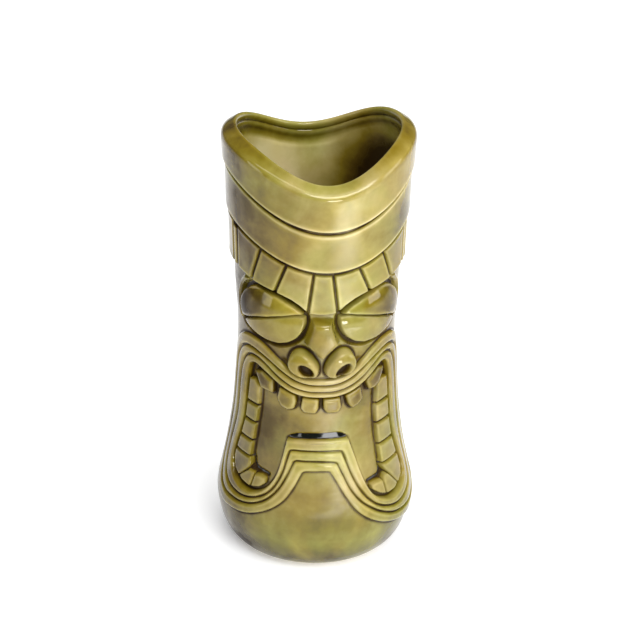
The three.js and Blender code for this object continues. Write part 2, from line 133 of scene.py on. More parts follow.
def brow_edge_at(angle):
    """The lower edge of the lowest band: over the eyes in front, and level round the back."""
    a = np.abs(wrapped(angle))
    behind = mix(TEMPLE_EDGE, crown_foot_at(angle), ramp(a, TEMPLE, BEHIND_TEMPLE))
    return np.where(a < TEMPLE, brow_edge_right(a), behind)


def rim_band_at(height):
    return 34.9 + (np.asarray(height) - 145) * 0.045


def middle_band_at(height):
    return 33.9 + (np.asarray(height) - 128) * 0.025


def lower_band_at(height):
    return 33.0 + (np.asarray(height) - 115) * 0.025


def place(angle, height, radius):
    """Points in metres for angles in degrees and lengths in millimetres."""
    a = np.radians(np.asarray(angle, float))
    a, height, radius = np.broadcast_arrays(a, height, radius)
    return np.stack([radius * np.sin(a), -radius * np.cos(a), height], -1) * MM


# ---- Outlines ----

MOUTH_EDGE = [
    (0, 74), (10, 74.1), (20, 75.2), (30, 77.6), (38, 80.2), (45, 82.6), (50, 83.4), (54, 82.4), (57, 79),
    (58.5, 74), (59, 66), (59, 58), (60.5, 50), (63.5, 44.5), (66, 39), (67.5, 34.5), (65, 30.5), (58, 28),
    (49.5, 27), (42, 28.2), (35.5, 31), (31, 35.5), (27, 42), (23.5, 49), (20.5, 54.4), (18.6, 56.3),
    (8, 56.8), (-8, 56.8), (-22.3, 56.3), (-24.4, 54), (-26.5, 48), (-29.5, 41), (-34, 36), (-40, 32.6),
    (-48, 31), (-58, 32), (-65.5, 35), (-69, 39.5), (-68, 45), (-65, 51), (-62, 58), (-61, 66), (-60, 73),
    (-58.5, 79), (-56, 82), (-51, 83.2), (-45, 82.2), (-38, 80.4), (-30, 77.8), (-20, 75.3), (-10, 74.2),
]
INNER_LIP_EDGE = [
    (0, 76.3), (10, 76.4), (20, 77.7), (30, 80.3), (40, 83.9), (48, 86.2), (55, 86.6), (61.5, 85), (65.5, 81),
    (67.5, 75), (68.3, 66), (68.5, 58), (69.5, 50), (72, 43), (74.5, 36), (74, 30.5), (70, 26.5), (62, 24),
    (54, 23), (46, 23.8), (38, 26), (31, 29.7), (24.5, 35.5), (20, 41.5), (17, 46.5), (14.5, 50.7),
    (12, 51.7), (0, 52), (-12, 52), (-19.5, 51.8), (-21.5, 50), (-24.5, 43), (-27.8, 38), (-32, 33.9),
    (-38, 30.7), (-46, 28.5), (-55, 27.8), (-65, 28.8), (-73, 31.5), (-77, 37), (-76.5, 44), (-73.5, 51),
    (-70.5, 58), (-69.5, 66), (-69, 73), (-67, 79), (-63, 83.6), (-57, 86), (-50, 86.3), (-42, 84.8),
    (-30, 80.6), (-20, 77.8), (-10, 76.5),
]
MIDDLE_LIP_EDGE = [
    (0, 79.1), (10, 79.3), (20, 80.9), (30, 84), (40, 87.2), (48, 88.9), (56, 89.4), (64, 88.3), (71, 85.3),
    (75.5, 80), (77, 73), (77.5, 65), (77.8, 57), (79, 50), (81, 43), (83, 35), (82, 28), (78, 22.6),
    (70, 19.8), (60, 19.2), (50, 20), (41, 22.3), (32.5, 25.8), (24.5, 30.4), (18.5, 36), (14.5, 41.5),
    (11.5, 45.6), (9.5, 47.3), (0, 48), (-10, 48), (-16.5, 47.8), (-18.5, 46), (-21.5, 41.5), (-26.5, 35.5),
    (-33, 30.6), (-41, 27.3), (-50, 25.5), (-60, 25), (-70, 25.6), (-79, 28.5), (-84.5, 35), (-84.5, 43),
    (-82, 50), (-79.5, 58), (-78, 66), (-77.5, 73), (-75.5, 80), (-71, 85.3), (-64, 88.4), (-56, 89.4),
    (-47, 88.6), (-38, 86.6), (-28, 83.4), (-19, 80.8), (-10, 79.4),
]
OUTER_LIP_EDGE = [
    (0, 82), (12, 82.4), (22, 84.6), (30, 88.2), (38, 91.4), (46, 93.4), (55, 94.2), (65, 93.2), (74, 90),
    (81, 84.5), (84.5, 77), (85.5, 68), (86, 60), (87, 52), (88.5, 44), (90, 36), (90, 27), (86, 19.8),
    (78, 15.8), (66, 14.3), (55, 15), (45, 16.8), (36, 19.4), (28, 22.8), (20.5, 27.6), (14.5, 34),
    (9.5, 40), (6.5, 43.2), (4.5, 44.2), (-3, 44.3), (-10.5, 44), (-13, 42), (-17, 36.8), (-22.5, 31.3),
    (-30, 27), (-39, 23.7), (-49, 21.4), (-60, 20.5), (-72, 20.5), (-84, 23.5), (-91.5, 30), (-92.5, 40),
    (-90, 50), (-87.5, 58), (-86.5, 66), (-86, 74), (-83.5, 82), (-77.5, 88.5), (-69, 92.6), (-59, 94.3),
    (-49, 94), (-40, 92), (-30, 88.2), (-21, 84.4), (-11, 82.3),
]
LOWER_LID = [
    (11, 107.7), (10.6, 104.5), (12.5, 101.3), (16, 98.4), (22, 96), (30, 94.6), (40, 94.8), (50, 96),
    (58, 97.3), (65, 98.9), (63, 100.6), (55, 102.5), (45, 104.8), (30, 107.2), (18, 108.5),
]
UPPER_LID = [
    (11.5, 108.5), (18, 108.4), (30, 106.9), (45, 104.5), (55, 102.2), (65.5, 100.3), (68, 104), (67, 108.5),
    (63, 112.4), (57, 115), (50, 116.7), (40, 116), (30, 114.8), (20, 112.5), (14, 110.2),
]
SOCKET_RIM = [
    (52, 117.6), (58, 116), (64.5, 113.2), (69, 108.8), (70, 104), (68, 99.8), (71.5, 97.4), (74.8, 103),
    (74, 109), (69, 114.6), (62, 118.3), (57, 118.6),
]
SOCKET = [
    (8.2, 108), (8.4, 103.5), (11, 99.4), (15.5, 96.3), (22, 94.2), (30, 93), (40, 93.2), (50, 94.4),
    (58, 95.6), (66, 97.2), (70.5, 100), (71, 105), (69.5, 110), (64.5, 114.3), (58, 117.2), (50, 118.4),
    (40, 117.8), (30, 116.4), (20, 114.4), (13, 111.6),
]
NOSE_BRIDGE = [
    (-8, 107.6), (-8.4, 104), (-10.6, 100), (-13.5, 97), (-10.5, 95.9), (-6.5, 93.9), (-3, 91.5), (0, 90),
    (3, 91.5), (6.5, 93.9), (10.5, 95.9), (13.5, 97), (10.6, 100), (8.4, 104), (8, 107.6),
]
NOSTRIL_WING = [
    (0.8, 88), (0.7, 84.2), (3, 82.9), (8, 82.7), (14, 83.4), (20, 84.9), (23.8, 87.2), (24.4, 90),
    (22.2, 92.9), (18, 94.9), (13, 95.2), (8, 93.6), (3.8, 90.8),
]
NOSTRIL = {"height": 86.8, "long": 3.3, "short": 1.9, "slope": 52}
NOSTRIL_ANGLES = {"left": -10.2, "right": 13.2}

UPPER_TEETH = [
    [(-52.5, 80.6), (-46, 74), (-35, 73.4), (-35.3, 78.8), (-45, 81.4)],
    [(-30.3, 77), (-32, 72), (-29, 69.2), (-23.5, 68), (-19, 68.9), (-17.4, 72), (-18.3, 74.3), (-24, 75.6)],
    [(-13.3, 73.9), (-14.5, 69.4), (-12, 67.7), (-4, 67.4), (-1.9, 69.2), (-1.6, 73.4)],
    [(1.4, 73.4), (1.5, 69.4), (4, 67.5), (12, 67.5), (14.4, 69.6), (13.4, 73.8)],
    [(17.2, 74.2), (19.3, 70.2), (22, 68.4), (27, 69.2), (31, 71.3), (29.4, 76.8), (23, 75.3)],
    [(33.6, 78), (36.4, 74), (42, 73.8), (47, 75.4), (51.5, 79.4), (52, 81.4), (46, 82), (39, 79.9)],
]
SIDE_TEETH = {
    "left": [
        [(-58.3, 76), (-60, 66.2), (-47.3, 66.2), (-47, 74), (-52, 76.6)],
        [(-60.1, 65.5), (-61.1, 58.6), (-48.8, 58.6), (-47.4, 65.5)],
        [(-61.2, 58), (-64.2, 50.8), (-50.2, 50.8), (-49, 58)],
        [(-64.4, 50.2), (-67.5, 43.9), (-51.2, 43.9), (-50.4, 50.2)],
        [(-67.6, 43.3), (-67.9, 39.6), (-64.6, 36), (-59.6, 34.2), (-51, 39.5), (-50.2, 41), (-51, 43.3)],
        [(-50, 38.9), (-58.6, 34.3), (-55.5, 33.2), (-48, 32.5), (-45.9, 38.2)],
        [(-45, 38), (-47, 32.6), (-40.5, 33.8), (-36.8, 35.8), (-37.2, 37.6), (-41, 38.2)],
    ],
    "right": [
        [(57.4, 76), (50.5, 76.6), (44.8, 74.3), (43.2, 66.9), (58.4, 66.9)],
        [(58.4, 66.2), (43.1, 66.2), (42.9, 58.7), (58.5, 58.7)],
        [(58.5, 58), (42.9, 58), (43.5, 49.7), (60, 49.7)],
        [(60.2, 49), (43.7, 49), (44.8, 41.2), (52, 41), (64, 41)],
        [(64.4, 40.3), (52, 40.3), (45.6, 40.4), (47.5, 37.9), (51.5, 35.4), (58.8, 29.6), (64.2, 31.4),
         (66.2, 35)],
        [(50.7, 35.1), (47, 36.8), (44.8, 35), (46.2, 28.6), (54, 28.6), (57.9, 29.8)],
        [(43.8, 34.7), (38, 34.9), (34.2, 34.6), (34.6, 32.8), (40, 30.2), (45.2, 28.8)],
    ],
}
GUMS = [  # the low ridge that each string of side teeth stands on
    [(-52, 76.6), (-58.3, 76), (-60, 66), (-61.2, 58.5), (-64.2, 50.6), (-67.5, 43.8), (-67.9, 39.6),
     (-64.6, 36), (-59.6, 34.2), (-47, 32.6), (-40.5, 33.8), (-36.8, 35.8), (-37.2, 37.6), (-45, 38),
     (-50.2, 41), (-51.2, 43.6), (-50.4, 50.5), (-48.9, 58.3), (-47.4, 65.8), (-47, 74)],
    [(57.4, 76), (50.5, 76.6), (44.8, 74.3), (43.2, 66.5), (42.9, 58.4), (43.5, 49.4), (44.8, 41),
     (47.5, 37.9), (44.8, 35), (38, 34.9), (34.2, 34.6), (34.6, 32.8), (40, 30.2), (46.2, 28.6),
     (58.8, 29.6), (64.2, 31.4), (66.2, 35), (64.2, 40.7), (60.1, 49.3), (58.5, 58.3), (58.4, 66.5)],
]
GUM_HEIGHT = 1.1
CHEEK_FOLD = [(19, 84.4), (23, 86.0), (27.5, 87.9)]
# A sloping shelf along the lower lip, in the mouth.
LEDGE = {"middle": -1.85, "half": 20.6, "low": 57.0, "rise": 2.1, "reach": 1.3}
CORNER_GAPS = [
    [(-50.5, 44), (-49.4, 41.4), (-46.5, 39.6), (-41, 39.2), (-36.5, 38.7)],
    [(45.2, 42), (46, 38.6), (43.6, 36.2), (38, 36), (33.8, 35.6)],
]
# The grooves between the brow blocks, each an angle at its top and one at its foot.
BROW_GROOVES = [(6.2, 9.8), (24, 32.3), (42.5, 51.5), (66, 66.5)]
BROW_GROOVE_WIDTH = 0.9  # in degrees, like the places of the grooves
CORNER_TEETH = (4, 5, 6)  # the side teeth that stand in a lower corner of the mouth
TEMPLE_BAR = [(67, 67.5), (71.5, 71.5)]
TEMPLE_BAR_SPREAD = 0.3
REAR_START = 72.5


def mirrored(outline):
    return [(-a, h) for a, h in reversed(outline)]


SIDES = {"right": list, "left": mirrored}


def on_wall(loop):
    """An outline's points in space, in millimetres."""
    return place(loop[:, 0], loop[:, 1], wall_at(loop[:, 1])) / MM


def spaced(line, step, fewest, closed):
    """A line's points spaced evenly, step millimetres apart."""
    gone = np.concatenate([[0], np.cumsum(np.linalg.norm(np.diff(on_wall(line), axis=0), axis=1))])
    at = np.linspace(0, gone[-1], max(fewest, round(gone[-1] / step)), endpoint=not closed)
    return np.stack([np.interp(at, gone, line[:, k]) for k in (0, 1)], 1)


def even(loop, step):
    """A closed outline with its points spaced evenly."""
    return spaced(np.vstack([loop, loop[:1]]), step, 12, True)


def open_line(points, step):
    """Points spaced evenly along an open line of straight stretches."""
    return spaced(np.array(points, float), step, 3, False)


def flowing(points, step):
    """A closed smooth line through the points."""
    p = np.array(points, float)
    t = np.linspace(0, 1, 10, endpoint=False)[:, None]
    stretches = []
    for i in range(len(p)):
        a, b, c, d = (p[(i + k) % len(p)] for k in (-1, 0, 1, 2))
        stretches.append(b + t / 2 * (c - a + t * (2 * a - 5 * b + 4 * c - d + t * (3 * b - a - 3 * c + d))))
    return even(np.vstack(stretches), step)


def rounded(points, step, radius=1.0):
    """A closed outline with its corners rounded off, each over about the given length of its sides."""
    fine = 0.15
    loop = even(np.array(points, float), fine)
    span = max(1, round(radius / fine))
    kernel = np.hanning(2 * span + 3)[1:-1]
    kernel /= kernel.sum()
    padded = np.vstack([loop[-span:], loop, loop[:span]])
    return even(np.stack([np.convolve(padded[:, k], kernel, "valid") for k in (0, 1)], 1), step)


def moved_out(loop, distance):
    """A clockwise outline moved outwards (inwards, below zero) by a distance in millimetres."""
    per_degree = np.radians(wall_at(loop[:, 1]))
    along = np.roll(loop, -1, axis=0) - np.roll(loop, 1, axis=0)
    along = along * np.stack([per_degree, np.ones(len(loop))], 1)
    along /= np.linalg.norm(along, axis=1)[:, None] + 1e-9
    return loop + distance * np.stack([-along[:, 1] / per_degree, along[:, 0]], 1)


def clockwise(loop):
    a, h = loop[:, 0], loop[:, 1]
    area = np.sum(a * np.roll(h, -1) - np.roll(a, -1) * h)
    return loop if area < 0 else loop[::-1].copy()


def distance_to(points, loop):
    """Millimetres from each (angle, height) to the nearest point of a closed outline."""
    p = on_wall(points)
    a = on_wall(loop)
    side = np.roll(a, -1, axis=0) - a
    length2 = np.maximum(np.einsum("ij,ij->i", side, side), 1e-9)
    best = np.empty(len(p))
    batch = 2000
    for start in range(0, len(p), batch):
        q = p[start:start + batch, None] - a[None]
        t = np.clip(np.einsum("ijk,jk->ij", q, side) / length2, 0, 1)
        best[start:start + batch] = np.linalg.norm(q - t[..., None] * side, axis=2).min(1)
    return best


def inside(points, loops):
    """Whether each (angle, height) is within the first outline and outside the others."""
    crossed = np.zeros(len(points), bool)
    for loop in loops:
        after = np.roll(loop, -1, axis=0)
        for (a0, h0), (a1, h1) in zip(loop, after):
            if h0 == h1:
                continue
            spans = (points[:, 1] >= min(h0, h1)) & (points[:, 1] < max(h0, h1))
            crossed ^= spans & (points[:, 0] < a0 + (points[:, 1] - h0) * (a1 - a0) / (h1 - h0))
    return crossed


def depth_in(points, loops):
    """Millimetres from the outline, positive inside it."""
    far = np.min([distance_to(points, loop) for loop in loops], axis=0)
    return np.where(inside(points, loops), far, -far)


# ---- The body under the carving ----

STEP = 0.45  # between points along an outline
MOUTH_LOOP = clockwise(flowing(MOUTH_EDGE, STEP))
SOCKET_LOOPS = [clockwise(flowing(turn(SOCKET), STEP)) for turn in SIDES.values()]
GUM_LOOPS = [clockwise(even(np.array(outline, float), STEP)) for outline in GUMS]
FOLD_LINES = [open_line(turn(CHEEK_FOLD), STEP) for turn in SIDES.values()]
CORNER_LINES = [open_line(line, STEP) for line in CORNER_GAPS]
CORNER_LINE_HALF = 0.7

# Where each step of the body starts and ends: above a groove for the bands, in from an outline for the rest.
BROW_STEP, MIDDLE_STEP, RIM_STEP = (0.9, 2.4), (0.8, 2.5), (0.8, 2.5)
MOUTH_STEP, GUM_STEP, SOCKET_STEP = (-1.3, -0.1), (0.1, 0.7), (-0.05, 0.9)
UNDER_BAND, UNDER_RIM_BAND = 1.1, 1.3  # how far under a band's face the body lies
FOLD_DEPTH, FOLD_REACH = 0.6, 1.5
CORNER_LINE_DEPTH = 1.0
CHIN_RISE = 1.0


def near(points, loop, margin):
    """Which points lie in the outline's own box, with a margin in degrees and millimetres."""
    low, high = loop.min(0) - margin, loop.max(0) + margin
    return np.all((points > low) & (points < high), axis=1)


def beside(points, line, reach):
    """1 on an open line, fading to 0 over reach millimetres or so."""
    share = np.zeros(len(points))
    close = near(points, line, 6)
    if close.any():
        far = on_wall(points[close])[:, None] - on_wall(line)[None]
        share[close] = np.exp(-((far**2).sum(2).min(1)) / reach**2)
    return share


def on_ledge(points):
    """How far down its slope a point on the lower lip's shelf is: 0 off it or at its top, 1 at its foot."""
    low = LEDGE["low"]
    along = np.clip((points[:, 0] - LEDGE["middle"]) / LEDGE["half"], -1, 1)
    rise = LEDGE["rise"] * (0.85 + 0.15 * along) * (1 - np.abs(along) ** 5)
    down = np.clip((low + rise - points[:, 1]) / np.maximum(rise, 0.3), 0, 1)
    return down * (1 - np.abs(along) ** 12) * ramp(points[:, 1], low - 3, low - 1)


def sunk(points, loop, low, high):
    """0 where a point is further out of the outline than low, 1 further in than high."""
    share = np.zeros(len(points))
    close = near(points, loop, 4)
    if close.any():
        share[close] = ramp(depth_in(points[close], [loop]), low, high)
    return share


def body_at(angle, height):
    """The radius of the body that the carving stands on."""
    angle, height = (np.atleast_1d(np.asarray(v, float)) for v in (angle, height))
    angle = wrapped(angle)
    points = np.stack([angle, height], 1)
    radius = wall_at(height)
    brow, middle = lower_band_at(height) - UNDER_BAND, middle_band_at(height) - UNDER_BAND
    radius = mix(radius, brow, ramp(height - brow_edge_at(angle), *BROW_STEP))
    radius = mix(radius, middle, ramp(height - lower_groove_at(angle), *MIDDLE_STEP))
    rim = rim_band_at(height) - UNDER_RIM_BAND
    radius = mix(radius, rim, ramp(height - upper_groove_at(angle), *RIM_STEP))
    radius = radius - MOUTH_DEPTH * sunk(points, MOUTH_LOOP, *MOUTH_STEP)
    for loop in GUM_LOOPS:
        radius = radius + GUM_HEIGHT * sunk(points, loop, *GUM_STEP)
    for loop in SOCKET_LOOPS:
        radius = radius - SOCKET_DEPTH * sunk(points, loop, *SOCKET_STEP)
    for line in FOLD_LINES:
        radius = radius - FOLD_DEPTH * beside(points, line, FOLD_REACH)
    radius = radius + LEDGE["reach"] * on_ledge(points)
    for line in CORNER_LINES:
        radius = radius - CORNER_LINE_DEPTH * beside(points, line, CORNER_LINE_HALF)
    chin = ramp(height, 12, 34) * (1 - ramp(np.abs(angle), 6, 30)) * (1 - ramp(height, 46, 50))
    return radius + CHIN_RISE * chin


# ---- Making pieces ----

PIECES = {}
RIDGES = []  # every outline in space, with how dark the glaze pools along it


def added(name, data):
    """A new object in the scene."""
    thing = bpy.data.objects.new(name, data)
    bpy.context.scene.collection.objects.link(thing)
    return thing


def mesh_piece(name, points, faces, pool_and_shade, material):
    """A mesh object in metres, with how thick the glaze lies at each point, together with the painted shade
    and painted black glass carried in the same value.
    """
    mesh = bpy.data.meshes.new(name + "_skin")
    mesh.from_pydata([tuple(p) for p in points], [], [tuple(int(v) for v in f) for f in faces])
    mesh.validate()
    mesh.polygons.foreach_set("use_smooth", [True] * len(mesh.polygons))
    layer = mesh.attributes.new("pool_and_shade", "FLOAT", "POINT")
    layer.data.foreach_set("value", np.asarray(pool_and_shade, np.float32))
    mesh.materials.append(material)
    mesh.update()
    PIECES[name] = added(name + "_skin", mesh)


def chart(loop):
    return np.stack([np.radians(loop[:, 0]) * CHART_RADIUS, loop[:, 1]], 1)


def unchart(points):
    return np.stack([np.degrees(points[:, 0] / CHART_RADIUS), points[:, 1]], 1)


SAME_POINT = 1e-6  # points nearer than this are one


def sides_of(loops):
    """The outlines' sides as pairs of point numbers, counted from one outline on to the next."""
    sides = []
    for loop in loops:
        start, count = len(sides), len(loop)
        sides += [(start + i, start + (i + 1) % count) for i in range(count)]
    return sides


def triangulated(points, loops):
    """Triangles between the outlines, whose points come first in points."""
    flat = [Vector(p) for p in chart(points)]
    out, _, tris = delaunay_2d_cdt(flat, sides_of(loops), [], 0, SAME_POINT)[:3]
    places = unchart(np.array([tuple(v) for v in out]))
    tris = np.array([t for t in tris if len(t) == 3])
    return places, tris[inside(places[tris].mean(1), loops)]


RIM_WIDTH = 0.35  # a relief runs on this far past its outline, falling under the body
RIM_FALL = 2.0
BED_DEPTH = 0.7  # how far under the body a relief's own underside lies
INSETS = (-0.2, -0.05, 0.1, 0.25, 0.42, 0.62, 0.86, 1.15, 1.5, 1.95)  # rings of points in from an outline


def glaze_near_edge(depth, pooled, line, pale, dark=1.0):
    """Glaze up to dark over the first line millimetres from an edge, thin over the next, and then even."""
    if not line:
        return pooled * np.ones(len(depth))
    thin = np.exp(-((depth - line - 0.55) / 0.7) ** 2)
    return np.clip(mix(pooled, dark, 1 - ramp(depth, 0.2 * line, line)) - pale * thin, 0, 1)


def relief(name, loops, top, material, edge=0.8, pooled=0.45, line=0.5, pale=0.3, dark=1.0, extra=(),
           pit=None, spacing=0.85):
    """A raised feature that lands softly on the body all round its outlines, and reaches just under it there.
    top(angle, height, depth) is its own surface, which it climbs to over edge millimetres. The glaze lies
    pooled thick, but up to dark over line millimetres in from the outline and pale after; with no line it
    stays even. extra holds further rings of points, and the glaze is dark inside a pit's outline."""
    loops = [clockwise(loops[0])] + [clockwise(loop)[::-1].copy() for loop in loops[1:]]
    if line:
        for loop in loops:
            RIDGES.append((on_wall(loop), dark))
    outer = []
    for loop in loops:
        border = moved_out(loop, RIM_WIDTH)
        outer.append(border[distance_to(border, loop) > 0.9 * RIM_WIDTH])
    low = np.min([chart(loop).min(0) for loop in outer], axis=0)
    high = np.max([chart(loop).max(0) for loop in outer], axis=0)
    rows = np.arange(low[1], high[1], spacing * 0.866)
    columns = np.arange(low[0], high[0], spacing)
    grid = unchart(np.array([(u + (k % 2) * spacing / 2, v) for k, v in enumerate(rows) for u in columns]))
    all_in = np.vstack([moved_out(loop, -inset) for inset in INSETS for loop in loops])
    ring_depth = np.repeat(INSETS, [sum(len(loop) for loop in loops)] * len(INSETS))
    rings = all_in[np.abs(depth_in(all_in, loops) - ring_depth) < 0.06]
    grid = grid[depth_in(grid, loops) > INSETS[-1] + 0.35]
    for more in extra:
        grid = grid[distance_to(grid, more) > 0.3]
        rings = rings[distance_to(rings, more) > 0.2]
    border = np.vstack(outer)
    places, tris = triangulated(np.vstack([border, rings, grid, *extra]), outer)
    depth = depth_in(places, loops)
    base = body_at(places[:, 0], places[:, 1])
    share = ramp(depth, 0, edge)
    up = np.maximum(top(places[:, 0], places[:, 1], depth) - base, 0)
    radius = base + up * share - RIM_FALL * np.minimum(depth, 0) ** 2
    pool_and_shade = glaze_near_edge(depth, pooled, line, pale, dark)
    if pit is not None:
        pool_and_shade = np.maximum(pool_and_shade, ramp(depth_in(places, [pit]), -0.5, 0.5))
    bed, under = triangulated(border, outer)
    bed_radius = body_at(bed[:, 0], bed[:, 1]) - BED_DEPTH
    upper_points = place(places[:, 0], places[:, 1], radius)
    lower_points = place(bed[:, 0], bed[:, 1], bed_radius)
    n = len(places)
    faces = [tuple(t) for t in tris]
    faces += [tuple(n + v for v in reversed(t)) for t in under]
    faces += [(j, i, n + i, n + j) for i, j in sides_of(outer)]
    pool_and_shade = np.concatenate([np.clip(pool_and_shade, 0, 1), np.ones(len(bed))])
    mesh_piece(name, np.vstack([upper_points, lower_points]), faces, pool_and_shade, material)


def woven(name, angles, rows, material, poles=None):
    """A mesh of rows round the axis, each an array of (radius, height, glaze) at every angle. The last row
    joins the first, or with poles, two (height, glaze) on the axis, each end closes in a point."""
    count = len(angles)
    points = [place(angles, row[:, 1], row[:, 0]) for row in rows]
    pool_and_shade = [row[:, 2] for row in rows]
    faces = []
    last = len(rows) - 1 if poles else len(rows)
    for k in range(last):
        here, there = k * count, ((k + 1) % len(rows)) * count
        for i in range(count):
            j = (i + 1) % count
            faces.append((here + i, here + j, there + j, there + i))
    if poles:
        first, end = len(rows) * count, len(rows) * count + 1
        points.append(place([0, 0], [p[0] for p in poles], 0))
        pool_and_shade.append([p[1] for p in poles])
        for i in range(count):
            j = (i + 1) % count
            faces.append((first, j, i))
            faces.append((end, (len(rows) - 1) * count + i, (len(rows) - 1) * count + j))
    mesh_piece(name, np.vstack(points), faces, np.concatenate(pool_and_shade), material)


def row_of(angles, radius, height, pool_and_shade):
    return np.stack(np.broadcast_arrays(radius, height, pool_and_shade * np.ones(len(angles))), 1)


# ---- Materials ----


def linear(hex_colour):
    """A colour written as sRGB hex, in the linear values that nodes take."""
    parts = [int(hex_colour[i:i + 2], 16) / 255 for i in (0, 2, 4)]
    return tuple(c / 12.92 if c <= 0.04045 else ((c + 0.055) / 1.055) ** 2.4 for c in parts) + (1.0,)


class Nodes:
    """Short calls to build a material's node tree."""

    def __init__(self, name):
        self.material = bpy.data.materials.new(name)
        self.material.use_nodes = True
        self.tree = self.material.node_tree
        self.shader = self.tree.nodes["Principled BSDF"]

    def add(self, kind, inputs=(), **settings):
        node = self.tree.nodes.new("ShaderNode" + kind)
        for key, value in settings.items():
            setattr(node, key, value)
        for key, value in dict(inputs).items():
            self.put(node.inputs[key], value)
        return node

    def put(self, socket, value):
        if isinstance(value, bpy.types.NodeSocket):
            self.tree.links.new(value, socket)
        else:
            socket.default_value = value

    def look(self, name, value):
        self.put(self.shader.inputs[name], value)

    def math(self, operation, a, b=0.0, clamp=False):
        node = self.add("Math", operation=operation, use_clamp=clamp)
        self.put(node.inputs[0], a)
        self.put(node.inputs[1], b)
        return node.outputs[0]

    def noise(self, scale, detail=2.0, roughness=0.5, distortion=0.0, stretch=(1, 1, 1), seed=0.0):
        where = self.add("TexCoord").outputs["Object"]
        moved = (seed, seed * 0.7, seed * 0.3)
        spread = self.add("Mapping", {"Vector": where, "Scale": stretch, "Location": moved})
        node = self.add("TexNoise", {"Vector": spread.outputs[0], "Scale": scale, "Detail": detail,
                                     "Roughness": roughness, "Distortion": distortion})
        return node.outputs["Fac"]

    def colours(self, factor, stops):
        node = self.add("ValToRGB", {"Fac": factor})
        elements = node.color_ramp.elements
        while len(elements) < len(stops):
            elements.new(0.5)
        for element, (at, colour) in zip(elements, stops):
            element.position, element.color = at, linear(colour)
        return node.outputs["Color"]

    def blend(self, factor, a, b):
        node = self.add("Mix", data_type="RGBA")
        self.put(node.inputs["Factor"], factor)
        self.put(node.inputs["A"], a)
        self.put(node.inputs["B"], b)
        return node.outputs["Result"]


# The glaze's colours from thin to pooled.
GLAZE_STOPS = [(0.0, "c7b88c"), (0.2, "ab9b69"), (0.42, "8e8046"), (0.62, "6f5f18"), (0.8, "4c3b0d"),
               (1.0, "2a1c08")]
GREEN_STOPS = [(0.0, "b9b56e"), (0.42, "82812e"), (0.65, "615f15"), (0.8, "413b0e"), (1.0, "271a09")]
OCHRE_STOPS = [(0.0, "c2ad62"), (0.42, "968126"), (0.65, "755f12"), (0.8, "48380c"), (1.0, "271a09")]
# painted dark reflection and painted shade: the colour of glaze painted as black glass
PAINTED_DARK_GLASS = "0b0d08"
PAINTED_DARK_POOL = 1.4  # the pool value at which the glaze is painted as black glass: a painted dark reflection on the lip's ledge and painted shade in the corner gaps
# Painted shade: the glaze is drawn darker towards both sides of the mug, from these places on, in metres, and
# this much for each metre.
LEFT_SHADE_FROM, LEFT_SHADE_GAIN = -0.008, 13.5
RIGHT_SHADE_FROM, RIGHT_SHADE_GAIN = 0.014, 13.0
REFLECTION_STREAKS_FROM = -0.02  # painted dark reflections: from here to the far left the upright streaks grow strong
GREEN_BELOW = 0.034


